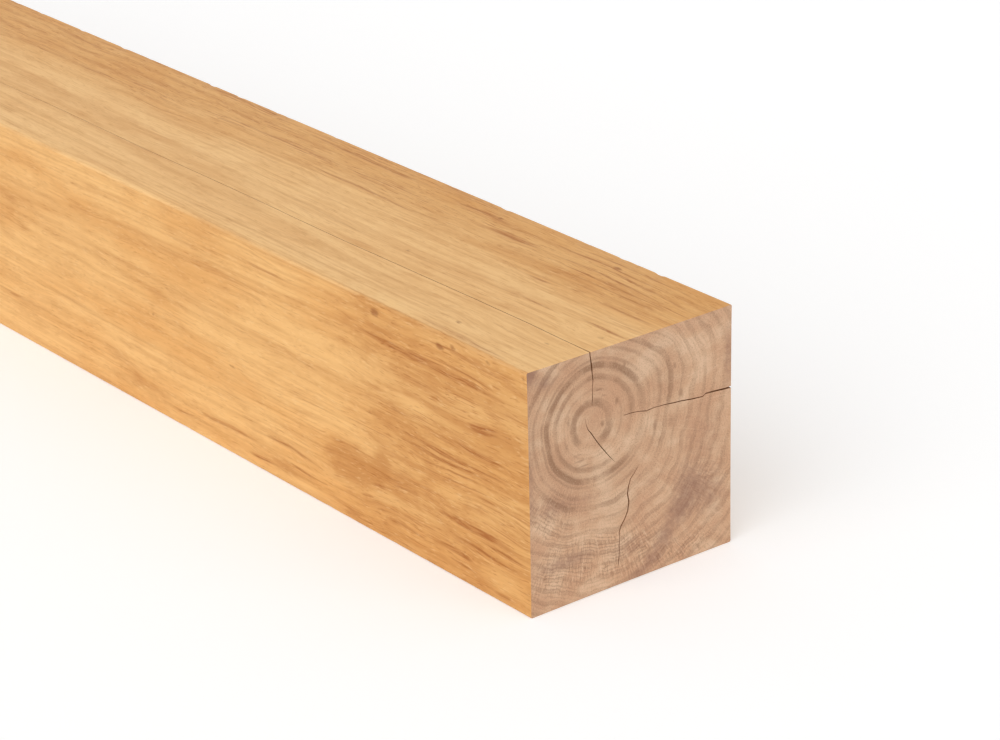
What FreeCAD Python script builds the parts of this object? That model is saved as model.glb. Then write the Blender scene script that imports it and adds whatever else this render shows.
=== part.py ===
"""A square oak post, sawn with the heart of the tree boxed in, lying on one face.

It is one solid: a square bar with eased long edges, opened at both ends by the
narrow wedge-shaped drying checks that spread from the heart.

Frame: X along the grain, Y across, Z up, origin at the middle of the underside.
The head end is at +X and the foot end at -X. All sizes are in millimetres.
"""

import FreeCAD, Part
import os

# ---- Driving dimensions -------------------------------------------------

LENGTH = 2400.0  # along the grain, a stock length
WIDTH = 150.0  # across the underside
HEIGHT = 150.0  # from the underside to the top
ARRIS_RADIUS = 1.2  # the planer eases the four long edges by this much

# The heart of the tree, measured in from the -Y face and up from the underside.
# It wanders a little on its way through the post.
HEAD_HEART_FROM_SIDE = 44.0
HEAD_HEART_FROM_BASE = 108.0
FOOT_HEART_FROM_SIDE = 56.0
FOOT_HEART_FROM_BASE = 92.0

CUT_OVERRUN = 2.0  # how far a check's cutter stands out of the faces it opens
INNER_GAPE = 0.2  # gape at the heart of a check with a mouth, as a share of its width

# Each check is a crack that is widest at the end of the post and closes along
# the grain. Its path across the end is a list of points (across, up), heart end
# first. Each number is a share of the way from the heart to a face: 0 is the
# heart, 1 the +Y face or the top, and -1 the -Y face or the underside.
#   path     the points, the last of them on the mouth if the check has one
#   mouth    the face that it breaks out through, or None if it stays inside
#   width    how wide it gapes on the end
#   run      how far it reaches along the grain
HEAD_CHECKS = {
    "top_check": {
        "path": [(0.045, 0.17), (0.042, 0.62), (0.03, 1.0)],
        "mouth": "top",
        "width": 1.3,
        "run": 1150.0,
    },
    "side_check": {
        "path": [(0.25, -0.037), (0.49, -0.056), (0.74, -0.07), (1.0, -0.088)],
        "mouth": "side",
        "width": 1.5,
        "run": 820.0,
    },
    "heart_check": {
        "path": [(-0.045, 0.13), (0.01, -0.046), (0.075, -0.139), (0.19, -0.295)],
        "mouth": None,
        "width": 0.9,
        "run": 60.0,
    },
    "lower_check": {
        "path": [(0.35, -0.352), (0.285, -0.415), (0.27, -0.54), (0.208, -0.72), (0.203, -0.88)],
        "mouth": None,
        "width": 1.0,
        "run": 45.0,
    },
}
FOOT_CHECKS = {
    "top_check": {
        "path": [(0.03, 0.155), (0.01, 0.52), (0.02, 1.0)],
        "mouth": "top",
        "width": 1.6,
        "run": 640.0,
    },
    "side_check": {
        "path": [(0.19, -0.033), (0.51, 0.035), (1.0, 0.05)],
        "mouth": "side",
        "width": 1.1,
        "run": 420.0,
    },
    "heart_check": {
        "path": [(-0.21, 0.17), (-0.05, 0.035), (0.075, -0.1), (0.12, -0.26)],
        "mouth": None,
        "width": 1.2,
        "run": 55.0,
    },
}

# Each end is where it stands along X, the heart's place (y, z) on it, and its checks.
HEAD = {
    "x": LENGTH / 2,
    "heart": (HEAD_HEART_FROM_SIDE - WIDTH / 2, HEAD_HEART_FROM_BASE),
    "checks": HEAD_CHECKS,
}
FOOT = {
    "x": -LENGTH / 2,
    "heart": (FOOT_HEART_FROM_SIDE - WIDTH / 2, FOOT_HEART_FROM_BASE),
    "checks": FOOT_CHECKS,
}


# ---- The bar ------------------------------------------------------------


def planed_bar():
    """The square bar, with its four long edges eased."""
    corner = FreeCAD.Vector(-LENGTH / 2, -WIDTH / 2, 0)
    bar = Part.makeBox(LENGTH, WIDTH, HEIGHT, corner)
    long_edges = [edge for edge in bar.Edges if edge.BoundBox.XLength > LENGTH / 2]
    return bar.makeFillet(ARRIS_RADIUS, long_edges)


# ---- The drying checks --------------------------------------------------


def point_on_end(end, across, up):
    """The place (y, z) that lies these shares of the way from the heart to the faces."""
    heart_y, heart_z = end["heart"]
    room_across = WIDTH / 2 - heart_y if across > 0 else WIDTH / 2 + heart_y
    room_up = HEIGHT - heart_z if up > 0 else heart_z
    return heart_y + across * room_across, heart_z + up * room_up


def path_on_end(end, check):
    """The check's path across the end as points (y, z), carried past its face if it has a mouth."""
    path = [point_on_end(end, across, up) for across, up in check["path"]]
    last_y, last_z = path[-1]
    if check["mouth"] == "top":
        path.append((last_y, last_z + CUT_OVERRUN))
    if check["mouth"] == "side":
        path.append((last_y + CUT_OVERRUN, last_z))
    return path


def half_gapes(check, count):
    """Half the gape at each of count points: it grows out to a mouth, or peaks half-way inside."""
    half = check["width"] / 2
    shares = [step / (count - 1) for step in range(count)]
    if check["mouth"] is None:
        return [half * 4 * share * (1 - share) for share in shares]
    return [half * (INNER_GAPE + (1 - INNER_GAPE) * share) for share in shares]


def sideways(path, index):
    """The unit direction square to the path at one of its points."""
    before = path[max(index - 1, 0)]
    after = path[min(index + 1, len(path) - 1)]
    along = FreeCAD.Vector(0, after[0] - before[0], after[1] - before[1])
    along.normalize()
    return FreeCAD.Vector(0, -along.z, along.y)


def outline_on_end(end, check, x):
    """The check's closed outline at x: out along one lip and back along the other."""
    path = path_on_end(end, check)
    one_lip, other_lip = [], []
    for index, half in enumerate(half_gapes(check, len(path))):
        middle = FreeCAD.Vector(x, *path[index])
        one_lip.append(middle + sideways(path, index) * half)
        if half > 0:
            other_lip.append(middle - sideways(path, index) * half)
    return one_lip + other_lip[::-1]


def closing_point(end, check, outwards):
    """Where the check closes, its run in from the end: on its mouth, or at its own middle."""
    path = path_on_end(end, check)
    y, z = path[-1] if check["mouth"] else path[len(path) // 2]
    return FreeCAD.Vector(end["x"] - outwards * check["run"], y, z)


def check_cutter(end, check):
    """The empty space of one check: a sliver on the end, drawn in to a point along the grain."""
    outwards = 1 if end["x"] > 0 else -1
    outline = outline_on_end(end, check, end["x"] + outwards * CUT_OVERRUN)
    tip = closing_point(end, check, outwards)
    faces = [Part.Face(Part.makePolygon(outline + outline[:1]))]
    for index, corner in enumerate(outline):
        following = outline[(index + 1) % len(outline)]
        faces.append(Part.Face(Part.makePolygon([corner, following, tip, corner])))
    cutter = Part.Solid(Part.makeShell(faces))
    if cutter.Volume < 0:
        cutter.reverse()
    return cutter


# ---- The post -----------------------------------------------------------


def post():
    """The bar with every check cut into it."""
    cutters = [check_cutter(end, check) for end in (HEAD, FOOT) for check in end["checks"].values()]
    return planed_bar().cut(cutters)


os.makedirs("parts", exist_ok=True)
built = post()
print("post: solids", len(built.Solids), "valid", built.isValid(), "volume cm3", round(built.Volume / 1000, 1))
built.exportStep("parts/post.step")
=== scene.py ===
# %% [markdown]
# # A square oak post
#
# The real thing is one length of oak, sawn square with the heart of the tree inside it, planed on its
# four long faces and cut across at both ends. As it dried it opened in drying checks, which are cracks
# that spread from the heart. The lesson builds it as one closed mesh, cuts the checks into it, and
# then paints it with a solid wood pattern, so that the rings on the ends and the figure on the long
# faces belong to the same tree.
#
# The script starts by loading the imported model, whose box is the size that the visible post keeps to.

# %% Load the frame
import math

import bpy
from mathutils import Matrix, Vector, geometry, noise


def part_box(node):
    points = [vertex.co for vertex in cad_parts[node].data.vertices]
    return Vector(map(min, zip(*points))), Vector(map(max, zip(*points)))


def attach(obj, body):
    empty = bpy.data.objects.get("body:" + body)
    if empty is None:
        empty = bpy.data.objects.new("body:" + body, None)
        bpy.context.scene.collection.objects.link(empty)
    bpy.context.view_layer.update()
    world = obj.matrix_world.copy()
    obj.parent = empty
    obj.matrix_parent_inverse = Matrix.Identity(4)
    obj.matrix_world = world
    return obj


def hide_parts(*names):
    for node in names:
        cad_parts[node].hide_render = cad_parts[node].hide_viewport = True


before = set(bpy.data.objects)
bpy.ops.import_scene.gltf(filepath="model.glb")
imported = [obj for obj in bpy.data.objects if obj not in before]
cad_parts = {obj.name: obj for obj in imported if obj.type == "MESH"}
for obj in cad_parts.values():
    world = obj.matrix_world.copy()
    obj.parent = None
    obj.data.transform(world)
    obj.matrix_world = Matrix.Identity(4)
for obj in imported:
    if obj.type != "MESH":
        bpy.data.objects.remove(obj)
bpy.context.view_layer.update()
low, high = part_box("post")
LENGTH, WIDTH, HEIGHT = high - low
print("post, in metres:", round(LENGTH, 4), round(WIDTH, 4), round(HEIGHT, 4))

# %% [markdown]
# ## Where the heart runs
#
# A tree's heart is never quite straight. At the head end of this post it lies near the upper left
# corner, and by the foot it has drifted. Every ring, ray and check is placed from that line, so it
# comes first. A few millimetres of wander on top of the drift is enough to turn straight stripes on
# the long faces into the flames and long tapering bands of real timber.

# %% The heart line
MM = 0.001
HEAD_X = high.x
FOOT_X = low.x
HEAD_HEART = (low.y + 44 * MM, low.z + 106 * MM)
FOOT_HEART = (low.y + 56 * MM, low.z + 92 * MM)
print("heart at the head end:", [round(v, 4) for v in HEAD_HEART])
print("heart at the foot:", [round(v, 4) for v in FOOT_HEART])

# %% [markdown]
# ## The section
#
# The planer leaves a square with its four edges, which joiners call arrises, eased by about a
# millimetre. A cube with a Bevel modifier would give that in two clicks. Here the section is a list
# of points instead, because each point can then be told how far it lies along a face or round an
# arris, and the wear in the next step needs to know.

# %% Points round the section
ARRIS_RADIUS = 1.2 * MM
STRIPS_PER_FACE = 16
STEPS_PER_ARRIS = 4


def section_points():
    """The section's points in order: y, z, inward y, inward z, share of the way across the face."""
    half_y = WIDTH / 2
    half_z = HEIGHT / 2
    corners = [(1, -1), (1, 1), (-1, 1), (-1, -1)]
    points = []
    for index, (side_y, side_z) in enumerate(corners):
        centre_y = side_y * (half_y - ARRIS_RADIUS)
        centre_z = half_z + side_z * (half_z - ARRIS_RADIUS)
        start = math.radians(-90 + 90 * index)
        for step in range(STEPS_PER_ARRIS + 1):
            angle = start + math.radians(90) * step / STEPS_PER_ARRIS
            out_y, out_z = math.cos(angle), math.sin(angle)
            y = centre_y + ARRIS_RADIUS * out_y
            z = centre_z + ARRIS_RADIUS * out_z
            points.append((y, z, -out_y, -out_z, 0.0))
        next_y, next_z = corners[(index + 1) % 4]
        end_y = next_y * (half_y - ARRIS_RADIUS)
        end_z = half_z + next_z * (half_z - ARRIS_RADIUS)
        out_y, out_z = round(math.cos(start + math.pi / 2)), round(math.sin(start + math.pi / 2))
        for strip in range(1, STRIPS_PER_FACE):
            share = strip / STRIPS_PER_FACE
            y = centre_y + (end_y - centre_y) * share + ARRIS_RADIUS * out_y
            z = centre_z + (end_z - centre_z) * share + ARRIS_RADIUS * out_z
            points.append((y, z, -out_y, -out_z, share))
    return points


section = section_points()
print("points round the section:", len(section))

# %% [markdown]
# ## Wear and movement
#
# Oak shrinks as it dries, so each face of a post sinks a little along its middle. Handling then chips
# the arrises, and here the arris between the top and the right face has lost the most. Sculpting this
# by hand would not repeat, so each vertex moves inwards by a small formula, and none moves outwards:
# the post never grows past its planed size.

# %% How far each point has sunk
HOLLOW = 0.25 * MM
WANDER = 0.15 * MM
WANDER_LENGTH = 350 * MM
WANDER_ACROSS = 40 * MM
# How deep each arris is chipped, named by the side it is on: 1 is right or top, -1 left or bottom.
CHIP_DEPTH = {(1, 1): 1.1 * MM, (-1, 1): 0.5 * MM, (1, -1): 0.5 * MM, (-1, -1): 0.35 * MM}
CHIP_LENGTH = 11 * MM
SPLINTER_LENGTH = 3 * MM
SPLINTER_SHARE = 0.9
LEFT_WHOLE = 0.15
CHIP_STRIPS = 1.5
CHIP_ON_FACE = 0.3


def chips(x, y, z):
    """How deep the arris nearest to this point is chipped here."""
    corner = (1 if y > 0 else -1, 1 if z > HEIGHT / 2 else -1)
    chip = noise.noise(Vector((x / CHIP_LENGTH, corner[0] * 5, corner[1] * 9)))
    splinter = noise.noise(Vector((x / SPLINTER_LENGTH, corner[0] * 3, corner[1] * 7)))
    worn = chip + SPLINTER_SHARE * splinter - LEFT_WHOLE
    return min(1.0, max(0.0, worn)) * CHIP_DEPTH[corner]


def sunk(x, y, z, share):
    """How far a point on a long face or an arris lies inside the planed square."""
    if share == 0.0:
        return chips(x, y, z)
    hollow = HOLLOW * 4 * share * (1 - share)
    slow = noise.noise(Vector((x / WANDER_LENGTH, y / WANDER_ACROSS, z / WANDER_ACROSS)))
    near_arris = max(0.0, 1 - min(share, 1 - share) * STRIPS_PER_FACE / CHIP_STRIPS)
    return hollow + WANDER * (0.5 + 0.5 * slow) + CHIP_ON_FACE * near_arris * chips(x, y, z)


print("deepest chip in mm:", max(CHIP_DEPTH.values()) / MM)

# %% [markdown]
# ## A map of the surface
#
# The mesh gets a UV map. The pattern doesn't need it, because solid wood is painted by place, but a
# model that goes on to another program has its colours baked into a picture through such a map. Smart
# UV Project would make one in a click, with the faces in no order. Laid out one by one, the four long
# faces lie as if the surface were peeled off, the two ends lie beside each other above them, and a
# strip is left for the walls of the checks.

# %% Lay out the map
MAP_GAP = 0.004
FACES_TOP = 0.585
END_SIDE = 0.4
WALLS_LEFT = 2 * (END_SIDE + MAP_GAP) + MAP_GAP
END_LEFT = {HEAD_X: MAP_GAP, FOOT_X: 2 * MAP_GAP + END_SIDE}


def faces_map(x, round_share):
    """The map's place for a point on the long faces, this share of the way round the section."""
    u = MAP_GAP + (1 - 2 * MAP_GAP) * (x - FOOT_X) / LENGTH
    return u, MAP_GAP + (FACES_TOP - MAP_GAP) * round_share


def end_map(end_x, y, z):
    """The map's place for a point on an end."""
    u = END_LEFT[end_x] + END_SIDE * (y - low.y) / WIDTH
    return u, FACES_TOP + MAP_GAP + END_SIDE * (z - low.z) / HEIGHT


print("share of the map that the long faces take:", FACES_TOP)

# %% [markdown]
# ## The long faces
#
# A planed bar could be a scaled cube, but a cube has no points between its corners to sink or chip.
# These faces are a loft: the same section at many stations along the grain, joined by four-sided
# faces. The two stations nearest each end are a few tenths of a millimetre apart and the last one is
# drawn in slightly, which gives the saw cut its softened rim.

# %% Loft the long faces
STATION_STEP = 3 * MM
RIM = 0.3 * MM


def stations():
    """Places along the grain, with a close pair at each end for the rim of the saw cut."""
    count = round(LENGTH / STATION_STEP)
    inner = [FOOT_X + LENGTH * step / count for step in range(1, count)]
    return [FOOT_X, FOOT_X + RIM] + inner + [HEAD_X - RIM, HEAD_X]


def lofted_faces():
    """The vertices, faces and map of the long faces."""
    places = stations()
    round_total = len(section)
    vertices = []
    for x in places:
        drawn_in = 0.0
        if x in (HEAD_X, FOOT_X):
            drawn_in = RIM * (0.6 + 0.5 * noise.noise(Vector((x, 0, 0))))
        for y, z, in_y, in_z, share in section:
            depth = drawn_in + sunk(x, y, z, share)
            vertices.append((x, y + in_y * depth, z + in_z * depth))
    faces, maps = [], []
    for station in range(len(places) - 1):
        for index in range(round_total):
            after = (index + 1) % round_total
            one, two = station * round_total, (station + 1) * round_total
            faces.append((one + index, one + after, two + after, two + index))
            near, far = index / round_total, (index + 1) / round_total
            here, beyond = places[station], places[station + 1]
            corners = [(here, near), (here, far), (beyond, far), (beyond, near)]
            maps.append([faces_map(x, share) for x, share in corners])
    return vertices, faces, maps


vertices, faces, maps = lofted_faces()
print("long faces:", len(vertices), "vertices and", len(faces), "faces")

# %% [markdown]
# ## The sawn ends
#
# An end could be one flat face, but a saw never leaves it dead flat. Points are scattered evenly
# inside the outline, moved in by a fraction of a millimetre, and joined to the outline by a Delaunay
# triangulation, which makes well shaped triangles from any scatter of points. The Fill tool would
# join the outline alone and leave nothing in the middle to move.

# %% Close the ends
END_STEP = 5 * MM
SAW_WAVE = 0.35 * MM
SAW_WAVE_ACROSS = 30 * MM
SAW_WAVE_UP = 12 * MM
INSIDE_ONLY = 1
WELD = 1e-7


def scattered_inside():
    """Evenly spaced points inside the outline of an end."""
    count = round(WIDTH / END_STEP)
    steps = [(index + 0.5) / count for index in range(count)]
    return [(low.y + WIDTH * across, low.z + HEIGHT * up) for up in steps for across in steps]


def close_end(end_x, rim_start):
    """Adds the triangles of one end to the mesh, between the rim and the scattered points."""
    inwards = -1 if end_x > 0 else 1
    rim = list(range(rim_start, rim_start + len(section)))
    flat = [Vector(vertices[index][1:]) for index in rim] + [Vector(point) for point in scattered_inside()]
    rim_edges = [(index, (index + 1) % len(rim)) for index in range(len(rim))]
    joined = geometry.delaunay_2d_cdt(flat, rim_edges, [], INSIDE_ONLY, WELD)
    triangles, came_from = joined[2], joined[3]
    own = list(rim)
    for y, z in flat[len(rim):]:
        wave = 0.5 + 0.5 * noise.noise(Vector((end_x, y / SAW_WAVE_ACROSS, z / SAW_WAVE_UP)))
        own.append(len(vertices))
        vertices.append((end_x + inwards * SAW_WAVE * wave, y, z))
    for triangle in triangles:
        corners = [own[came_from[index][0]] for index in triangle]
        if inwards > 0:
            corners.reverse()
        faces.append(tuple(corners))
        maps.append([end_map(end_x, *vertices[index][1:]) for index in corners])
    return len(triangles)


bar_faces = len(faces)
foot_triangles = close_end(FOOT_X, 0)
head_triangles = close_end(HEAD_X, (len(stations()) - 1) * len(section))
print("triangles on the ends:", foot_triangles, head_triangles)

# %% [markdown]
# ## The bar
#
# The points and faces are still plain lists. A mesh takes them in one call, and an object puts the mesh
# in the scene. The ends are the last faces in the list, so the step that hands out the finishes can
# tell them from the long faces by number.

# %% Make the bar
MAP_NAME = "OFBake"


def make_mesh(name, vertices, faces, maps):
    """A mesh object with its faces laid on the map."""
    mesh = bpy.data.meshes.new(name)
    mesh.from_pydata(vertices, [], faces)
    layer = mesh.uv_layers.new(name=MAP_NAME)
    layer.uv.foreach_set("vector", [number for face in maps for corner in face for number in corner])
    made = bpy.data.objects.new(name, mesh)
    bpy.context.scene.collection.objects.link(made)
    return made


post = make_mesh("oak_post", vertices, faces, maps)
print("bar:", len(post.data.vertices), "vertices,", len(post.data.polygons), "faces")

# %% [markdown]
# ## The drying checks
#
# A check is a real opening, so it is cut into the mesh and not painted on: light falls into it, and
# it still reads as a crack from any side. Its path across the end is a list of points, given
# from the heart outwards, with how far it gapes at each. Along the grain it shallows and narrows until
# it closes. A check that breaks out through a long face leaves a fine line there, which follows the
# grain with a little wander.

# %% Paths of the checks
# Each point is (from the left face, up from the underside, gape), and everything is in millimetres.
# A face gape of 0 is a check that stays inside the post.
HEAD_CHECKS = {
    "top": {
        "path": [
            (46.2, 117, 0.2), (46.7, 122, 0.5), (46.5, 127, 0.35), (47.1, 132, 0.5),
            (46.6, 137, 0.8), (46.3, 141, 1.1), (45.6, 145, 0.8), (45.0, 148.5, 0.8),
            (44.9, 153, 0.7),
        ],
        "reach": 1150, "face_gape": 0.5},
    "side": {
        "path": [
            (69, 104.6, 0.25), (75, 104.4, 0.5), (79.5, 103.9, 0.35), (86, 102.4, 0.6),
            (92, 102.8, 0.4), (100, 102.2, 0.5), (107, 101.4, 0.7), (112, 101.0, 0.7),
            (120, 99.8, 0.8), (128, 99.0, 0.6), (130.5, 100.3, 0.8), (138, 99.7, 1.1),
            (145, 99.0, 1.2), (153, 98.7, 1.5),
        ],
        "reach": 820, "face_gape": 0.5},
    "heart": {
        "path": [
            (41.2, 111, 0.15), (41.8, 107, 0.25), (43.2, 103.4, 0.4), (45.4, 100.6, 0.55),
            (48.2, 96.2, 0.5), (52, 90.8, 0.55), (55.5, 86.2, 0.45), (59.2, 81.6, 0.35),
            (62.2, 78.2, 0.15),
        ],
        "reach": 60, "face_gape": 0},
    "lower": {
        "path": [
            (79.8, 70.6, 0.2), (76.4, 66.6, 0.4), (73.8, 64.2, 0.5), (72.4, 60.2, 0.65),
            (71.5, 55.4, 0.8), (72.5, 50.2, 0.9), (71.6, 44.8, 0.8), (69.2, 40.2, 0.65),
            (66.4, 36.6, 0.7), (65.0, 32.8, 0.5), (65.3, 28.4, 0.25), (64.8, 24.6, 0.6),
            (65.2, 20.4, 0.25), (64.6, 16.2, 0.6), (64.2, 12.2, 0.2),
        ],
        "reach": 45, "face_gape": 0},
}
FOOT_CHECKS = {
    "top": {
        "path": [
            (59, 102, 0.3), (58, 110, 0.7), (59.2, 118, 1.0), (56.8, 127, 1.1), (57.6, 136, 1.4),
            (58.2, 144, 1.5), (57.6, 153, 1.7),
        ],
        "reach": 640, "face_gape": 0.6},
    "side": {
        "path": [
            (74, 89, 0.3), (86, 91.5, 0.6), (97, 92.2, 0.8), (109, 95.6, 0.9), (121, 94.8, 1.0),
            (136, 95.4, 1.1), (153, 95.0, 1.3),
        ],
        "reach": 420, "face_gape": 0.5},
    "heart": {
        "path": [
            (44, 102, 0.2), (49, 97, 0.7), (53.5, 93.8, 1.1), (58.4, 88.5, 1.2), (63, 82, 1.0),
            (65, 75, 0.6), (67.5, 68, 0.2),
        ],
        "reach": 55, "face_gape": 0},
}
print("checks:", len(HEAD_CHECKS), "at the head and", len(FOOT_CHECKS), "at the foot")

# %% [markdown]
# ## Wedges
#
# Each check is made as a thin closed wedge, which is the shape of its empty space, and one Boolean takes
# them all away later. Moving the bar's own points apart would need its edges to run along every check.
# A wedge is lofted as the bar was: its outline across the end is drawn again at stations that lie
# closer together near the mouth, each a little shorter and narrower than the one before.

# %% The wedge of one check
WEDGE_STEPS = 44
CROWDING = 1.4
OVERRUN = 1.5 * MM
SPLAY = 7 * MM
SHUT = 0.03 * MM
DRIFT = 1.6 * MM
DRIFT_LENGTH = 160 * MM
DRIFT_START = 40 * MM
JITTER = 0.3 * MM
JITTER_LENGTH = 12 * MM
WALLS_FILL = 0.96


def along_path(path, share):
    """The point and gape this share of the way along a path, from its outer end inwards."""
    at = (1 - share) * (len(path) - 1)
    index = min(int(at), len(path) - 2)
    past = at - index
    return [a + (b - a) * past for a, b in zip(path[index], path[index + 1])]


def sliver(check, inside, reach, seed):
    """The check's outline at a distance inside the end, as one lip's points and the other's."""
    path = check["path"]
    closing = min(1.0, max(0.0, inside / reach))
    opens = check["face_gape"] > 0
    depth = (1 - closing) ** 0.7 * 0.98 + 0.02
    fade = (1 - closing) ** 0.5
    splayed = math.exp(-max(0.0, inside) / SPLAY)
    drift = DRIFT * noise.noise(Vector((inside / DRIFT_LENGTH, seed, 0.0)))
    drift += JITTER * noise.noise(Vector((inside / JITTER_LENGTH, seed, 4.0)))
    drift *= min(1.0, max(0.0, inside) / DRIFT_START)
    middle, half = [], []
    for index in range(len(path)):
        share = index / (len(path) - 1)
        from_mouth = share * depth if opens else 0.5 + (share - 0.5) * depth
        u, v, gape = along_path(path, from_mouth)
        held = max(gape * splayed, min(gape, check["face_gape"] or gape) * fade)
        middle.append(Vector((low.y + u * MM, low.z + v * MM)))
        half.append(max(SHUT, held * MM / 2 * (fade if share > 0 or not opens else 1)))
    one, other = [], []
    for index, centre in enumerate(middle):
        before = middle[max(index - 1, 0)]
        after = middle[min(index + 1, len(middle) - 1)]
        along = (after - before).normalized()
        across = Vector((-along.y, along.x))
        centre = centre + across * drift
        one.append(centre + across * half[index])
        other.append(centre - across * half[index])
    return one, other


def walls_map(share_in, row, row_height):
    """The map's place for a point on a wall of a check."""
    u = WALLS_LEFT + (1 - MAP_GAP - WALLS_LEFT) * share_in
    return u, FACES_TOP + MAP_GAP + row_height * WALLS_FILL * row


def check_wedge(end_x, check, strip, strips, seed):
    """The vertices, faces and map of the empty space of one check."""
    inwards = -1 if end_x > 0 else 1
    reach = check["reach"] * MM
    vertices, faces, maps = [], [], []
    steps = range(1, WEDGE_STEPS + 1)
    for inside in [-OVERRUN] + [reach * (step / WEDGE_STEPS) ** CROWDING for step in steps]:
        one, other = sliver(check, inside, reach, seed)
        for point in one + other[::-1]:
            vertices.append((end_x + inwards * inside, point.x, point.y))
    round_total = 2 * len(check["path"])

    def mapped(station, index):
        return walls_map(station / WEDGE_STEPS, strip + index / round_total, END_SIDE / strips)

    for station in range(WEDGE_STEPS):
        for index in range(round_total):
            after = (index + 1) % round_total
            one, two = station * round_total, (station + 1) * round_total
            faces.append((one + index, one + after, two + after, two + index))
            corners = [(station, index), (station, index + 1), (station + 1, index + 1), (station + 1, index)]
            maps.append([mapped(*corner) for corner in corners])
    mouth = list(range(round_total))
    tip = [WEDGE_STEPS * round_total + index for index in mouth]
    for cap, station in ((mouth[::-1], 0), (tip, WEDGE_STEPS)):
        faces.append(tuple(cap))
        maps.append([mapped(station, index % round_total) for index in cap])
    if inwards > 0:
        faces = [face[::-1] for face in faces]
        maps = [face[::-1] for face in maps]
    return vertices, faces, maps


print("each wedge has", WEDGE_STEPS + 1, "stations")

# %% [markdown]
# The seven wedges go into one mesh, so that one Boolean is enough. Each has its own strip of the map
# and its own seed, which makes it wander in its own way.

# %% Make the wedges
SEED_STEP = 3.7


def all_wedges():
    """One mesh with the wedges of all the checks."""
    vertices, faces, maps = [], [], []
    checks = [(HEAD_X, check) for check in HEAD_CHECKS.values()]
    checks += [(FOOT_X, check) for check in FOOT_CHECKS.values()]
    for strip, (end_x, check) in enumerate(checks):
        made = check_wedge(end_x, check, strip, len(checks), strip * SEED_STEP)
        start = len(vertices)
        vertices += made[0]
        faces += [tuple(start + index for index in face) for face in made[1]]
        maps += made[2]
    return make_mesh("check_wedges", vertices, faces, maps)


wedges = all_wedges()
print("wedges:", len(wedges.data.vertices), "vertices")

# %% [markdown]
# ## Wood as arithmetic
#
# Blender paints with nodes, and a wood pattern takes dozens of them. Placing each by hand is slow to
# read, so one small class wraps a node's output and lets Python's own signs stand for Math nodes:
# `1 - mask` adds a Subtract node, and `a * b` a Multiply node. Everything else comes from one method
# that adds a node from its type, its settings and its sockets.

# %% A wire with arithmetic
class Wire:
    """One output of a node, on which Python's arithmetic adds Math nodes."""

    def __init__(self, tree, socket):
        self.tree = tree
        self.socket = socket

    def node(self, kind, settings, sockets, output=0):
        """Adds a node. Settings go in first, then the value or wire of each socket."""
        made = self.tree.nodes.new(kind)
        for name, value in settings.items():
            if name == "stops":
                fill_ramp(made.color_ramp, value)
            else:
                setattr(made, name, value)
        for name, value in sockets.items():
            if isinstance(value, Wire):
                self.tree.links.new(value.socket, made.inputs[name])
            elif made.inputs[name].type == "RGBA":
                made.inputs[name].default_value = (*value, 1.0)
            else:
                made.inputs[name].default_value = value
        return Wire(self.tree, made.outputs[output])

    def other(self, output):
        """Another output of the same node."""
        return Wire(self.tree, self.socket.node.outputs[output])

    def maths(self, operation, *values):
        """A Math node on wires and numbers."""
        return self.node("ShaderNodeMath", {"operation": operation}, dict(enumerate(values)))

    def vector(self, operation, sockets):
        """A Vector Math node, with its sockets by number or name."""
        return self.node("ShaderNodeVectorMath", {"operation": operation}, sockets)

    def __add__(self, other):
        return self.maths("ADD", self, other)

    def __radd__(self, other):
        return self.maths("ADD", other, self)

    def __sub__(self, other):
        return self.maths("SUBTRACT", self, other)

    def __rsub__(self, other):
        return self.maths("SUBTRACT", other, self)

    def __mul__(self, other):
        return self.maths("MULTIPLY", self, other)

    def __rmul__(self, other):
        return self.maths("MULTIPLY", other, self)

    def __truediv__(self, other):
        return self.maths("DIVIDE", self, other)

    def rises(self, start, end):
        """0 up to start, 1 from end on, and a smooth climb between; it falls if end is below start."""
        settings = {"interpolation_type": "SMOOTHSTEP", "clamp": True}
        sockets = {"Value": self, "From Min": min(start, end), "From Max": max(start, end)}
        if start > end:
            sockets.update({"To Min": 1.0, "To Max": 0.0})
        return self.node("ShaderNodeMapRange", settings, sockets)


def fill_ramp(ramp, stops):
    """Gives a colour ramp these stops, each a place and a grey."""
    ramp.interpolation = "EASE"
    while len(ramp.elements) < len(stops):
        ramp.elements.new(1.0)
    for element, (place, grey) in zip(ramp.elements, stops):
        element.position = place
        element.color = (grey, grey, grey, 1.0)


print("arithmetic on wires is ready")

# %% [markdown]
# ## Blobs, blends and spots
#
# The three finishes of the post are stacked from a few simple things: clouds of a given size, a blend
# of two colours by a mask, and soft spots at listed places. Blender's node groups are meant
# for what is used again. A short function does the same here, and it can be read line by line.

# %% Blobs, blends and spots
ROUGH_NOISE = 0.6


def start_finish(name):
    """A new material, and the place of a point in millimetres as a wire."""
    material = bpy.data.materials.new(name)
    material.use_nodes = True
    tree = material.node_tree
    place = Wire(tree, tree.nodes.new("ShaderNodeTexCoord").outputs["Object"])
    return material, place.vector("SCALE", {0: place, "Scale": 1 / MM})


def noise_at(place, settings):
    """A noise that is looked up at this place."""
    return place.node("ShaderNodeTexNoise", {}, {"Vector": place, "Scale": 1.0, **settings})


def blobs(place, size, detail, shift):
    """A cloudy value around 0.5, whose blobs are about this size (x, y, z) in millimetres."""
    scale = tuple(1 / side for side in size)
    moved = place.vector("MULTIPLY_ADD", {0: place, 1: scale, 2: (shift,) * 3})
    return noise_at(moved, {"Detail": detail, "Roughness": ROUGH_NOISE})


def blend(mask, one, other):
    """The first colour where the mask is 0 and the second where it is 1."""
    settings = {"data_type": "RGBA", "clamp_factor": True}
    return mask.node("ShaderNodeMix", settings, {0: mask, 6: one, 7: other}, 2)


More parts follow.
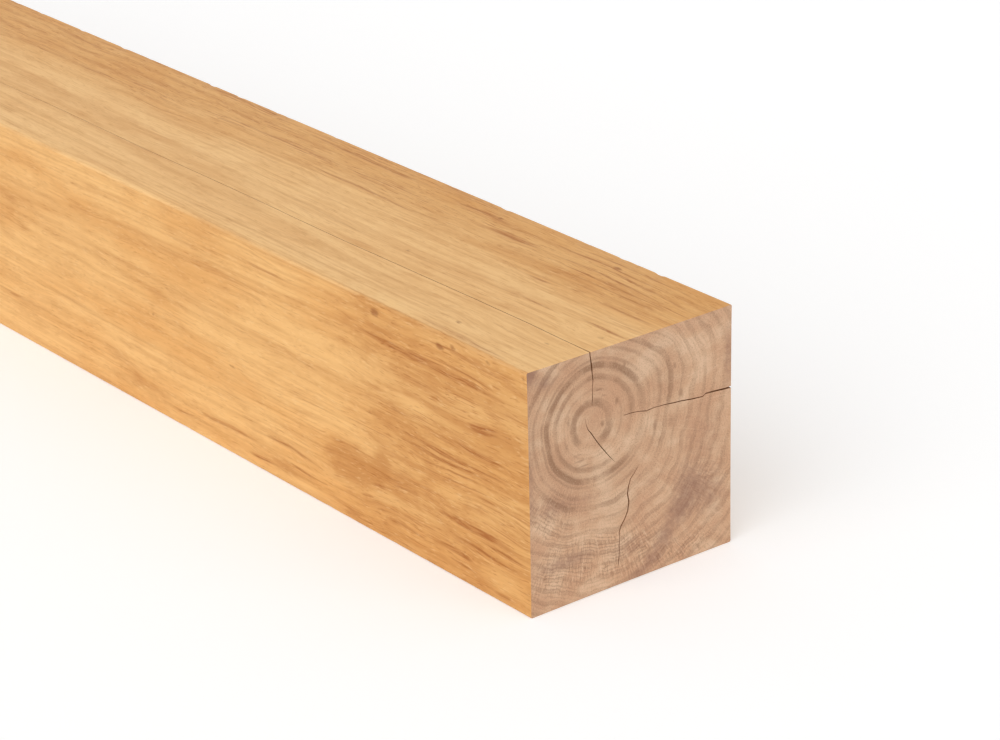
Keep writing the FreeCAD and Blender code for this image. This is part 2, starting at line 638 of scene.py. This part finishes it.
def spot(place, centre, size):
    """1 at the centre (x, y, z), falling to 0 at an ellipsoid of this size, all in millimetres."""
    scale = tuple(1 / side for side in size)
    offset = tuple(-c / side for c, side in zip(centre, size))
    near = place.vector("MULTIPLY_ADD", {0: place, 1: scale, 2: offset})
    return place.node("ShaderNodeVectorMath", {"operation": "LENGTH"}, {0: near}, "Value").rises(1.0, 0.0)


def spots(place, listed, centre, size):
    """A list of spots added up. Each entry ends with its strength, and centre and size read the rest."""
    mask = 0.0
    for entry in listed:
        mask = mask + entry[-1] * spot(place, centre(*entry[:-1]), size(*entry[:-1]))
    return mask


print("blobs, blends and spots are ready")

# %% [markdown]
# ## A place in the tree
#
# Both the ends and the long faces start from the same facts: where a point is, how far it lies from the
# heart, and in which direction. Blender's Wave texture draws rings too, but only perfect ones. Here the
# distance is bent before it is used. A tree grows faster on one side, its rings swell into lobes, and
# each ring ripples. The wide side is the right one, and the rest is noise of three sizes that is added
# to the distance.

# %% The ring distance
# How far the heart sways as it runs along the post, in millimetres.
SWAY_LENGTH = 170
SWAY_ACROSS = 2.5
SWAY_UP = 3.5
# How strongly each cause bends the distance.
WIDE_SIDE = 0.11
LOBES = 0.16
SWELLS = 14
RIPPLES = 1.6
OUTER_RIPPLES = 3.0
TURN_LENGTH = 900


def in_the_tree(place):
    """(x, y, z) and then (bent distance, true distance, direction) from the heart, as wires."""
    x = place.node("ShaderNodeSeparateXYZ", {}, {0: place})
    y, z = x.other(1), x.other(2)
    share = x / (LENGTH / MM) + 0.5
    across = y - ((HEAD_HEART[0] - FOOT_HEART[0]) / MM * share + FOOT_HEART[0] / MM)
    up = z - ((HEAD_HEART[1] - FOOT_HEART[1]) / MM * share + FOOT_HEART[1] / MM)
    turn = (x - HEAD_X / MM) / SWAY_LENGTH
    across = across - SWAY_ACROSS * turn.maths("SINE", turn)
    up = up - SWAY_UP * turn.maths("SINE", turn * 0.63)
    true = place.maths("SQRT", across * across + up * up + 0.01)
    direction = place.node("ShaderNodeCombineXYZ", {}, {0: across / true, 1: up / true, 2: x / TURN_LENGTH})
    lobes = noise_at(direction, {"Scale": 1.1, "Detail": 1.0})
    swells = blobs(place, (500, 42, 42), 1.0, 71.0)
    ripples = blobs(place, (300, 11, 11), 2.0, 3.0)
    bent = true - WIDE_SIDE * across + true * (lobes - 0.5) * LOBES
    bent = bent + (swells - 0.5) * SWELLS * true.rises(30, 75)
    bent = bent + (ripples - 0.5) * (RIPPLES + OUTER_RIPPLES * true.rises(40, 70))
    return (x, y, z), (bent, true, direction)


print("the rings are widest on the right, by", WIDE_SIDE)

# %% [markdown]
# ## Rings
#
# Oak lays down a band of open pores each spring and dense wood each summer. Close to the heart this
# tree grew 5 or 6 mm a year and the bands are broad and soft. Further out they are about 2 mm. The
# broad ones are a colour ramp with a stop given for each band, and the narrow ones are a
# sine wave, which would look ruled if its strength didn't come and go.

# %% Ring tones
RING_LIMIT = 64
# How dark the rings near the heart are, as (distance from the heart in millimetres, tone).
HEART_RINGS = [
    (0, 0.1), (9.5, 0.1), (12, 0.85), (14.5, 0.8), (16, 0.15), (19, 0.12), (20.5, 0.4), (22, 0.1),
    (25, 0.15), (26.5, 0.75), (28.5, 0.6), (29.5, 0.15), (31.5, 0.25), (33, 1.0), (35.5, 0.9),
    (36.5, 0.25), (38, 0.6), (39.5, 0.15), (43, 0.15), (44.5, 0.6), (46.5, 0.15), (49, 0.2),
    (50.5, 0.9), (52.5, 0.7), (54, 0.15), (58, 0.15), (59.5, 0.6), (61, 0.2), (64, 0.0),
]
WIDE_RING = 7.4
FINE_RING = 2.3


def lines(bent, spacing):
    """Dark lines at this spacing along the bent distance, from 0 to 1."""
    return bent.maths("SINE", bent * (2 * math.pi / spacing)).rises(-0.1, 1.0)


def ring_tones(place, bent):
    """How dark the broad and the fine rings are here, each from 0 to 1."""
    stops = [(radius / RING_LIMIT, tone) for radius, tone in HEART_RINGS]
    inner = place.node("ShaderNodeValToRGB", {"stops": stops}, {"Fac": bent / RING_LIMIT})
    inner = place.node("ShaderNodeSeparateColor", {}, {0: inner})
    outer = lines(bent + 3 * blobs(place, (300, 30, 30), 2.0, 13.0), WIDE_RING) * 0.6
    broad = inner + outer * bent.rises(60, 66)
    patchy = blobs(place, (250, 13, 13), 2.0, 11.0).rises(0.36, 0.6)
    return broad, lines(bent + 2.2 * blobs(place, (300, 5, 5), 2.0, 19.0), FINE_RING) * patchy


print("rings drawn by hand:", len([tone for radius, tone in HEART_RINGS if tone > 0.3]) // 2 + 1)

# %% [markdown]
# ## The sawn end
#
# End grain soaks up dirt and light, so it is greyer and pinker than the long faces. Pale rays run out
# from the heart across the rings. Where they are dense, low on this end, rings and rays together look
# woven. A picture of real end grain would show all this at once, but only on one end and in one light.
# The colours, and the few marks that belong to this end alone, are listed instead.

# %% Colours, marks and stains of the sawn end
END_GROUND = (0.66, 0.42, 0.262)
END_WARM = (0.585, 0.335, 0.20)
END_PALE = (0.76, 0.53, 0.355)
END_DARK = (0.27, 0.14, 0.076)
END_STAIN = (0.27, 0.135, 0.092)
MARK_DEPTH = 60

# All of these are on the head end, as (across, up, half width, half height, strength) in millimetres.
END_MARKS = [
    (-21.5, 104, 2.6, 3.2, 1.0), (-11, 115, 2.2, 3.6, 1.0), (-41, 107, 2.4, 3.4, 0.5),
    (32, 124, 2.2, 3.4, 0.9), (-5, 135, 2.0, 3.4, 0.7), (-24, 125.5, 5.0, 1.3, 0.8),
    (-20, 121, 4.5, 1.2, 0.6), (-38, 86, 9.0, 1.2, 0.7), (-35, 82.5, 11.0, 1.2, 0.7),
    (-40, 90, 8.0, 1.1, 0.6), (37, 106, 3.4, 6.0, 0.8), (29, 91, 4.0, 9.0, 0.6),
    (17, 92, 3.0, 6.0, 0.7), (-48, 97, 3.5, 6.0, 0.5), (-46, 112, 3.0, 7.0, 0.6),
]
END_STAINS = [
    (-75, 150, 13, 15, 1.4), (-62, 140, 12, 8, 0.7), (-75, 85, 8, 44, 0.6), (74, 120, 9, 40, 0.7),
    (40, 46, 20, 22, 0.7), (33, 31, 17, 15, 0.8), (24, 19, 14, 12, 0.8), (15, 9, 13, 10, 0.8),
    (4, 2, 14, 8, 0.8), (58, 36, 26, 26, 0.6), (52, 74, 34, 44, 0.4), (-48, 27, 38, 9, 0.7),
    (-4, 22, 28, 13, 0.5), (-60, 64, 24, 16, 0.5), (-35, 62, 30, 9, 0.4), (14, 58, 10, 6, 0.4),
]
# Where the broad rings fade away, below and to the right of the heart.
END_FADES = [
    (-8, 86, 22, 13, 1.0), (4, 99, 14, 12, 0.8), (-32, 93, 17, 8, 1.0), (16, 72, 26, 16, 0.7),
    (40, 98, 20, 12, 0.5), (-18, 60, 40, 9, 0.6), (68, 120, 22, 40, 0.6), (-12, 108, 12, 9, 0.5),
]
# Where fine rings and rays cross so closely that the wood looks woven.
END_WOVEN = [
    (-58, 60, 30, 24, 1.0), (-45, 24, 50, 26, 1.0), (-2, 20, 36, 22, 1.0), (35, 8, 60, 14, 0.6),
    (50, 45, 34, 30, 0.5),
]


def on_head(across, up, wide, tall):
    """The centre of something on the head end."""
    return HEAD_X / MM, across, up


def thin_at_end(across, up, wide, tall):
    """Its size: it goes well into the wood, so the waves of the saw cut don't reach past it."""
    return MARK_DEPTH, wide, tall


print("marks, stains and woven patches:", len(END_MARKS), len(END_STAINS), len(END_WOVEN))

# %% [markdown]
# ## Rays
#
# Rays are sheets of cells that run straight out from the heart. Drawn one by one they would be
# hundreds. Here they are a noise that is read by direction: it changes quickly round the heart and
# slowly away from it, so every streak points at the heart without any drawing.

# %% Rays
def rays_from_heart(place, direction, true, count, length):
    """Thin streaks that point at the heart, as a cloudy value around 0.5."""
    tight = place.vector("MULTIPLY", {0: direction, 1: (count, count, 0)})
    outwards = place.node("ShaderNodeCombineXYZ", {}, {2: true / length})
    streak = place.vector("ADD", {0: tight, 1: outwards})
    return noise_at(streak, {"Detail": 2.0, "Roughness": ROUGH_NOISE})


print("rays are ready")

# %% [markdown]
# ## The finish of the ends
#
# The finish is now a stack, from the ground up: cloudy ground, rings, rays, pores, and last the marks
# and stains that are listed. Each layer is one line that says where it goes and how strongly.

# %% Paint the sawn end
SHEEN = 0.3


def bumped(height, strength, depth):
    """A bump of this strength, whose full height is this many metres."""
    settings = {"Strength": strength, "Distance": depth, "Height": height}
    return height.node("ShaderNodeBump", {}, settings)


def finish(material, colour, rough, bump):
    """Joins a finish to the shader."""
    shader = material.node_tree.nodes["Principled BSDF"]
    links = material.node_tree.links
    links.new(colour.socket, shader.inputs["Base Color"])
    links.new(rough.socket, shader.inputs["Roughness"])
    links.new(bump.socket, shader.inputs["Normal"])
    shader.inputs["Specular IOR Level"].default_value = SHEEN


def paint_sawn_end():
    """End grain: rings, rays, pores and the stains of storage."""
    material, place = start_finish("sawn_end_grain")
    _, (bent, true, direction) = in_the_tree(place)
    broad, fine = ring_tones(place, bent)
    clouds = blobs(place, (60, 34, 24), 3.0, 2.0)
    ragged = blobs(place, (40, 3, 3), 3.0, 23.0) - 0.5
    speckle = blobs(place, (3, 0.8, 0.8), 2.0, 5.0)
    woven = spots(place, END_WOVEN, on_head, thin_at_end).rises(0.0, 0.7)
    woven = woven + 0.12 * bent.rises(40, 60)
    ticks = rays_from_heart(place, direction, true, 105, 5)
    rays = rays_from_heart(place, direction, true, 70, 20).rises(0.54, 0.7) * true.rises(30, 60)

    colour = blend(clouds.rises(0.36, 0.66), END_GROUND, END_WARM)
    colour = blend(clouds.rises(0.5, 0.32) * 0.6, colour, END_PALE)
    kept = 1 - 0.85 * spots(place, END_FADES, on_head, thin_at_end).rises(0.0, 0.8)
    kept = kept * (0.4 + 0.6 * blobs(place, (200, 21, 21), 3.0, 17.0).rises(0.36, 0.56))
    colour = blend(broad * kept * (0.8 - 0.3 * bent.rises(40, 70)), colour, END_DARK)
    colour = blend(fine * (0.12 + 0.3 * woven), colour, END_DARK)
    colour = blend(ticks.rises(0.52, 0.7) * woven * 0.5, colour, END_DARK)
    colour = blend(ticks.rises(0.48, 0.3) * woven * 0.5, colour, END_PALE)
    colour = blend(rays * 0.2, colour, END_PALE)
    colour = blend(speckle.rises(0.5, 0.74) * (0.4 + 0.35 * broad), colour, END_DARK)
    colour = blend(speckle.rises(0.46, 0.26) * 0.36, colour, END_PALE)
    marks = spots(place, END_MARKS, on_head, thin_at_end)
    marks = marks + ragged * marks.rises(0.0, 0.4)
    colour = blend(marks.rises(0.1, 0.9) * 0.55, colour, END_DARK)
    stains = spots(place, END_STAINS, on_head, thin_at_end)
    stains = stains + ragged * stains.rises(0.0, 0.5)
    colour = blend(stains.rises(0.05, 1.15) * 0.72, colour, END_STAIN)

    height = 0.5 * fine + 0.3 * broad - speckle.rises(0.55, 0.75) + 0.4 * ticks
    finish(material, colour, 0.72 + 0.12 * clouds, bumped(height, 0.3, 0.12 * MM))
    return material


sawn_end = paint_sawn_end()
print("sawn end:", len(sawn_end.node_tree.nodes), "nodes")

# %% [markdown]
# ## The planed faces
#
# Planing cuts the grain open along its length. The rings become long stripes, the pores become dashes
# a few millimetres long and a hair wide, and the rays are short pale flecks. Planed oak is a warm
# yellow, darker and more orange where it is dense or has been handled, as near the head end here.
#
# The stripes come from the same ring distance as on the ends. Dashes and flecks are noise that is
# stretched along the grain until its blobs are needles.

# %% Colours, streaks and knots of the planed faces
OAK_PALE = (0.87, 0.51, 0.192)
OAK_WARM = (0.79, 0.415, 0.136)
OAK_DEEP = (0.54, 0.23, 0.056)
OAK_STREAK = (0.34, 0.09, 0.008)
OAK_FLECK = (0.94, 0.64, 0.31)
OAK_BLEACHED = (0.93, 0.61, 0.285)
OAK_KNOT = (0.25, 0.065, 0.008)
STREAK_DEPTH = 30

# On the left face, as (back from the head, up, half length, half width, strength) in millimetres.
LEFT_STREAKS = [
    (88, 127, 96, 3.4, 1.5), (60, 131, 60, 1.4, 0.7), (40, 104, 21, 3.6, 1.3),
    (44, 87, 34, 2.6, 1.1), (72, 75, 66, 1.9, 1.2), (72, 71, 66, 1.7, 1.1), (70, 66, 70, 1.2, 0.6),
    (70, 61, 70, 1.2, 0.6), (38, 57, 14, 1.6, 0.8), (46, 36, 50, 3.2, 1.4), (24, 31, 30, 2.4, 1.0),
    (40, 25, 40, 1.6, 0.9), (68, 16, 24, 2.4, 1.1), (62, 11, 20, 1.6, 0.7), (24, 6, 18, 2.8, 0.6),
    (60, 139, 58, 2.0, 0.8), (235, 25, 62, 2.0, 0.7), (300, 17, 46, 2.4, 0.8),
    (216, 15, 36, 1.8, 0.7), (262, 7, 22, 2.4, 0.8), (340, 11, 44, 2.6, 0.6),
    (415, 22, 40, 5.0, 0.4), (165, 47, 46, 1.4, 0.5), (480, 47, 60, 3.0, 0.4),
    (540, 30, 70, 3.0, 0.5), (310, 120, 70, 2.0, 0.4), (250, 137, 60, 2.0, 0.5),
]
LEFT_PATCHES = [
    (166, 36, 50, 29, 1.0), (116, 40, 46, 27, 0.7), (80, 28, 22, 22, 0.6), (140, 77, 14, 9, 0.8),
    (138, 55, 14, 20, 0.6), (90, 112, 70, 10, 0.45), (230, 12, 70, 13, 0.6), (395, 14, 60, 16, 0.6),
    (30, 70, 40, 40, 0.25), (80, 146, 80, 6, 0.6), (560, 90, 60, 30, 0.4),
]
LEFT_BRIGHT = [
    (105, 96, 24, 10, 1.0), (22, 14, 32, 11, 0.7), (108, 4, 18, 4, 0.6), (70, 52, 26, 8, 0.4),
]
LEFT_KNOTS = [
    (139, 143, 6.5, 4.2, 1.0), (78, 141, 6.0, 3.6, 1.0), (66, 144, 4.5, 3.0, 0.8),
    (34, 145, 4.5, 2.4, 0.6), (3, 146, 4, 3.0, 0.6), (378, 68, 4.0, 2.4, 0.5),
    (146, 78, 8.0, 5.0, 0.4), (290, 60, 7.0, 1.8, 0.6),
]
# On the top, as (back from the head, across, half length, half width, strength).
TOP_STREAKS = [
    (20, -3, 28, 2.2, 1.0), (72, -7, 32, 1.6, 0.7), (30, 20, 36, 2.4, 0.7), (102, 17, 20, 1.5, 0.6),
    (62, 35, 80, 1.4, 0.6), (70, 41, 76, 1.5, 0.9), (82, 47, 80, 1.5, 0.8), (60, 53, 70, 1.8, 0.8),
    (92, 58, 90, 2.0, 0.7), (72, 66, 90, 2.0, 0.7), (62, -70, 70, 3.4, 0.7),
    (165, 47, 36, 4.0, 0.9), (205, 60, 46, 3.0, 0.9), (290, 30, 90, 2.4, 0.5),
    (330, 64, 110, 3.0, 0.7), (270, -12, 90, 1.8, 0.4), (420, 45, 90, 3.0, 0.5),
]
TOP_KNOTS = [
    (82, -58, 5.0, 3.0, 0.7), (25, -40, 4.5, 2.0, 0.6), (12, -12, 5.0, 3.0, 0.5),
    (85, 62, 6.0, 3.2, 1.0), (195, 62, 5.0, 2.6, 0.8), (190, -12, 4.0, 2.4, 0.6),
]


def on_left_face(back, up, long, wide):
    """The centre of something on the left face."""
    return HEAD_X / MM - back, low.y / MM, up


def on_top_face(back, across, long, wide):
    """The centre of something on the top."""
    return HEAD_X / MM - back, across, HEIGHT / MM


def along_left(back, up, long, wide):
    """Its size: long and narrow, and going well into the wood."""
    return long, STREAK_DEPTH, wide


def along_top(back, across, long, wide):
    """The same for the top."""
    return long, wide, STREAK_DEPTH


print("streaks picked by hand:", len(LEFT_STREAKS) + len(TOP_STREAKS))

# %% [markdown]
# ## Wavy grain
#
# Grain that ran dead straight would look printed. So the streaks and stripes are looked up at a place
# that has first been pushed sideways by a slow noise, which bends them into flames.

# %% Wavy grain
WAVE = 13
WAVE_SIZE = (95, 30, 30)


def wavy(place):
    """The place, pushed across the grain by a slow noise."""
    scale = tuple(1 / side for side in WAVE_SIZE)
    slow = place.vector("MULTIPLY", {0: place, 1: scale})
    push = noise_at(slow, {"Detail": 2.0}).other("Color")
    push = place.vector("SUBTRACT", {0: push, 1: (0.5, 0.5, 0.5)})
    return place.vector("MULTIPLY_ADD", {0: push, 1: (0, WAVE, WAVE), 2: place})


print("the grain is pushed by up to", WAVE / 2, "mm")

# %% [markdown]
# ## The finish of the planed faces
#
# The stack for the planed faces follows. The head end of the left face has been handled most and is
# deeper in colour, and the top is a little bleached by light, but not along its far right edge. That
# edge is darker, partly from denser brown streaks and partly from painted shadow.

# %% Paint the planed faces
# In millimetres: how deep a face's own marks go, and how far back from the head end it was handled.
FACE_SKIN = 2.2
FULL_SKIN = 1.0
HANDLED_FROM = 130
HANDLED_FULL = 50


def paint_planed_faces():
    """Long grain: stripes, clouds, pores, flecks, streaks and knots."""
    material, place = start_finish("planed_oak")
    (x, y, z), (bent, _, _) = in_the_tree(place)
    head, left, top = HEAD_X / MM, low.y / MM, HEIGHT / MM
    broad, fine = ring_tones(place, bent)
    bowed = wavy(place)
    clouds = blobs(place, (150, 34, 34), 3.0, 31.0)
    mottle = blobs(bowed, (24, 7, 7), 3.0, 37.0)
    on_left = y.rises(left + FACE_SKIN, left + FULL_SKIN)
    on_top = z.rises(top - FACE_SKIN, top - FULL_SKIN)
    handled = x + 90 * clouds + 40 * mottle
    handled = handled.rises(head - HANDLED_FROM, head - HANDLED_FULL) * on_left
    # The top's far right edge: denser brown streaks, and a darker colour that is partly painted shadow.
    far_edge_streaks_and_shadow = (y + 30 * clouds).rises(10, 70) * on_top

    colour = blend(clouds.rises(0.4, 0.66), OAK_PALE, OAK_WARM)
    colour = blend(on_top * (1 - far_edge_streaks_and_shadow) * 0.55, colour, OAK_BLEACHED)
    colour = blend(mottle.rises(0.45, 0.75) * (0.26 + 0.4 * handled), colour, OAK_DEEP)
    # Deeper colour at the head of the left face from handling, and along the top's far edge as painted
    # shadow.
    colour = blend(handled * 0.34 + far_edge_streaks_and_shadow * 0.34, colour, OAK_DEEP)
    patches = spots(bowed, LEFT_PATCHES, on_left_face, along_left) + (mottle - 0.5) * on_left
    colour = blend(patches.rises(0.1, 1.0) * 0.72, colour, OAK_DEEP)
    stripes = blobs(bowed, (170, 4.5, 4.5), 3.0, 41.0).rises(0.44, 0.68)
    colour = blend(stripes * (0.24 + 0.34 * handled + 0.4 * far_edge_streaks_and_shadow), colour, OAK_DEEP)
    colour = blend(broad * 0.25 + fine * 0.2, colour, OAK_DEEP)
    bright = spots(bowed, LEFT_BRIGHT, on_left_face, along_left)
    colour = blend(bright * 0.6, colour, OAK_PALE)

    streaks = blobs(bowed, (80, 1.4, 1.4), 3.0, 43.0)
    where = blobs(place, (150, 12, 12), 2.0, 47.0).rises(0.42, 0.64)
    handling_and_shadow = 0.26 + 0.34 * handled + 0.4 * far_edge_streaks_and_shadow
    colour = blend(streaks.rises(0.5, 0.72) * where * handling_and_shadow, colour, OAK_STREAK)
    drawn = spots(bowed, LEFT_STREAKS, on_left_face, along_left) * on_left
    drawn = drawn + spots(bowed, TOP_STREAKS, on_top_face, along_top) * on_top
    broken = 0.45 + 0.8 * blobs(bowed, (26, 1.2, 1.2), 3.0, 67.0).rises(0.4, 0.62)
    colour = blend(drawn.rises(0.0, 0.8) * broken * 0.62, colour, OAK_STREAK)
    pores = blobs(bowed, (11, 0.7, 0.7), 1.0, 53.0)
    colour = blend(pores.rises(0.56, 0.74) * (0.22 + 0.2 * handled + 0.2 * far_edge_streaks_and_shadow), colour, OAK_STREAK)
    flecks = blobs(bowed, (9, 1.3, 1.3), 2.0, 59.0)
    colour = blend(flecks.rises(0.56, 0.76) * 0.3, colour, OAK_FLECK)
    knots = spots(place, LEFT_KNOTS, on_left_face, along_left) * on_left
    knots = knots + spots(place, TOP_KNOTS, on_top_face, along_top) * on_top
    ragged = knots + (blobs(place, (4, 2, 2), 2.0, 73.0) - 0.5) * knots.rises(0.0, 0.3)
    colour = blend(ragged.rises(0.1, 1.0) * 0.62, colour, OAK_KNOT)

    height = 0.5 * streaks + 0.25 * fine - pores.rises(0.56, 0.74) + 0.3 * mottle
    rough = 0.5 + 0.14 * clouds + 0.1 * pores.rises(0.6, 0.74)
    finish(material, colour, rough, bumped(height, 0.3, 0.1 * MM))
    return material


planed_oak = paint_planed_faces()
print("planed faces:", len(planed_oak.node_tree.nodes), "nodes")

# %% [markdown]
# ## Inside the checks
#
# A check is torn and not cut, so its walls are rough, with paler torn fibres. Their dark colour is
# painted shade, for the shade deep in the narrow gap. A plain black would do from afar, but light
# does reach in near the mouth.

# %% Paint the walls of the checks
# Both colours are painted shade inside the checks; the paler one marks the torn fibres.
WALL_SHADE = (0.28, 0.11, 0.04)
WALL_FIBRE_SHADE = (0.42, 0.235, 0.125)


def paint_check_walls():
    """Torn fibre, with its dark colour painted as the shade inside the check."""
    material, place = start_finish("check_wall")
    fibres = blobs(place, (30, 1.2, 1.2), 3.0, 61.0)
    colour = blend(fibres.rises(0.4, 0.65), WALL_SHADE, WALL_FIBRE_SHADE)
    finish(material, colour, 0.8 + 0.1 * fibres, bumped(fibres, 0.5, 0.2 * MM))
    return material


check_wall = paint_check_walls()
print("check walls:", len(check_wall.node_tree.nodes), "nodes")

# %% [markdown]
# ## Cut the checks
#
# The Boolean modifier takes the wedges out of the bar. Set to transfer materials, it gives the cut
# walls the wedges' own finish, so the dark walls need no picking afterwards. The Manifold solver is
# the fast one, and both meshes are closed, as it asks.
#
# The modifier is applied at once, because the post never changes again. Shading is smooth, except at
# edges that turn by more than the angle below, so the arrises stay crisp.

# %% Cut, and settle the shading
SHARP = math.radians(12)

for finish_of_bar in (planed_oak, sawn_end):
    post.data.materials.append(finish_of_bar)
for index in range(bar_faces, len(post.data.polygons)):
    post.data.polygons[index].material_index = 1
wedges.data.materials.append(check_wall)

cut = post.modifiers.new("checks", "BOOLEAN")
cut.operation = "DIFFERENCE"
cut.solver = "MANIFOLD"
cut.material_mode = "TRANSFER"
cut.object = wedges
evaluated = post.evaluated_get(bpy.context.evaluated_depsgraph_get())
carved = bpy.data.meshes.new_from_object(evaluated)
post.modifiers.clear()
post.data = carved
post.data.name = "oak_post"
bpy.data.objects.remove(wedges)
post.data.shade_smooth()
post.data.set_sharp_from_angle(angle=SHARP)
print("post with its checks:", len(carved.polygons), "faces in", [m.name for m in carved.materials])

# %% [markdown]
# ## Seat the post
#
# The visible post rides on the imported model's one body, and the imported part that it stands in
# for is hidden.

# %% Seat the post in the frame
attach(post, "root")
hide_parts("post")
print("the post rides on the root body")

# %% [markdown]
# ## Studio
#
# The floor and the world look white to the camera, and the lamps stay at a plain level, so the oak's
# colours come out as they were written and the floor keeps the post's shadow. Brighter lamps would
# whiten the floor too, but they would bleach the oak. So the Light Path node tells which rays look at
# the floor or the world directly, and only those see the extra white.

# %% Floor and world
FLOOR_HALF = 30.0
FLOOR_COLOUR = (0.86, 0.86, 0.86, 1.0)
FLOOR_ROUGH = 0.9
FLOOR_GLOW = 0.22
WHITE = (1, 1, 1, 1)
WORLD_LEVEL = 0.55


def looked_at(tree):
    """1 for rays that look straight here, or by way of gloss or glass, and 0 for rays of light."""
    rays = tree.nodes.new("ShaderNodeLightPath").outputs
    camera, gloss = Wire(tree, rays["Is Camera Ray"]), Wire(tree, rays["Is Glossy Ray"])
    either = camera.maths("MAXIMUM", camera, gloss)
    return either.maths("MAXIMUM", either, Wire(tree, rays["Is Transmission Ray"]))


def make_floor():
    """A big pale floor that adds a little glow for the eye, and none for the post."""
    sides = [(-1, -1), (1, -1), (1, 1), (-1, 1)]
    mesh = bpy.data.meshes.new("floor")
    mesh.from_pydata([(FLOOR_HALF * x, FLOOR_HALF * y, 0) for x, y in sides], [], [(0, 1, 2, 3)])
    made = bpy.data.objects.new("floor", mesh)
    bpy.context.scene.collection.objects.link(made)
    material = bpy.data.materials.new("floor_pale")
    material.use_nodes = True
    tree = material.node_tree
    shader = tree.nodes["Principled BSDF"]
    shader.inputs["Base Color"].default_value = FLOOR_COLOUR
    shader.inputs["Roughness"].default_value = FLOOR_ROUGH
    tree.links.new((looked_at(tree) * FLOOR_GLOW).socket, shader.inputs["Emission Strength"])
    shader.inputs["Emission Color"].default_value = WHITE
    mesh.materials.append(material)


def make_world():
    """A pale world that is white where it is seen."""
    world = bpy.data.worlds.new("studio")
    bpy.context.scene.world = world
    world.use_nodes = True
    tree = world.node_tree
    background = tree.nodes["Background"]
    background.inputs["Color"].default_value = WHITE
    level = WORLD_LEVEL + looked_at(tree) * (1 - WORLD_LEVEL)
    tree.links.new(level.socket, background.inputs["Strength"])


make_floor()
make_world()
print("floor and world are in")

# %% [markdown]
# ## Lamps
#
# A studio has soft boxes. An Area lamp is one, but it lights the near end of a long post more than the
# far end. A Sun lights everything alike, and a wide angle gives its shadows the same soft edges. One
# comes from behind the camera on the left, and a weaker one from in front of the head end.

# %% Lamps
SUN_SPREAD = math.radians(60)


def make_lamp(name, towards, level):
    """A sun with a wide soft disc that shines in this direction."""
    light = bpy.data.lights.new(name, "SUN")
    light.angle = SUN_SPREAD
    light.energy = level
    lamp = bpy.data.objects.new(name, light)
    lamp.rotation_euler = Vector(towards).to_track_quat("-Z", "Y").to_euler()
    bpy.context.scene.collection.objects.link(lamp)


make_lamp("key_lamp", (-0.35, 1.0, -0.75), 1.5)
make_lamp("fill_lamp", (-1.0, -0.15, -0.5), 0.6)
print("lamps are in")

# %% [markdown]
# ## Camera
#
# The camera is a long lens about two metres from the head end, looking down a little and turned so
# that the left face, the top and the head end all show. Its three axes are worked out from two
# angles and a slight roll, and then it steps back and aside from the middle of the head end.

# %% Set up the camera
AZIMUTH = math.radians(52.04)
ELEVATION = math.radians(23.28)
ROLL = math.radians(-1.33)
DISTANCE = 1.9472
STEP_ASIDE = -0.07457
STEP_UP = 0.05105
LENS = 124.33
SENSOR = 36
FARTHEST = 100
HEAD_MIDDLE = Vector((HEAD_X, 0, HEIGHT / 2))


def camera_axes():
    """The camera's right, up and backward directions."""
    level = math.cos(ELEVATION)
    back = Vector((math.sin(AZIMUTH) * level, -math.cos(AZIMUTH) * level, math.sin(ELEVATION)))
    level_right = Vector((math.cos(AZIMUTH), math.sin(AZIMUTH), 0))
    level_up = back.cross(level_right)
    right = level_right * math.cos(ROLL) + level_up * math.sin(ROLL)
    up = level_up * math.cos(ROLL) - level_right * math.sin(ROLL)
    return right, up, back


right, up, back = camera_axes()
lens = bpy.data.cameras.new("camera")
lens.lens = LENS
lens.sensor_width = SENSOR
lens.clip_end = FARTHEST
camera = bpy.data.objects.new("camera", lens)
place = HEAD_MIDDLE + back * DISTANCE + right * STEP_ASIDE + up * STEP_UP
camera.matrix_world = Matrix.Translation(place) @ Matrix((right, up, back)).transposed().to_4x4()
bpy.context.scene.collection.objects.link(camera)
bpy.context.scene.camera = camera
bpy.context.scene.view_settings.view_transform = "Standard"
print("camera at", [round(v, 3) for v in place])

# %% [markdown]
# ## The size
#
# The visible post has to stay inside the box of the imported model.

# %% The end
print("the scene is built")
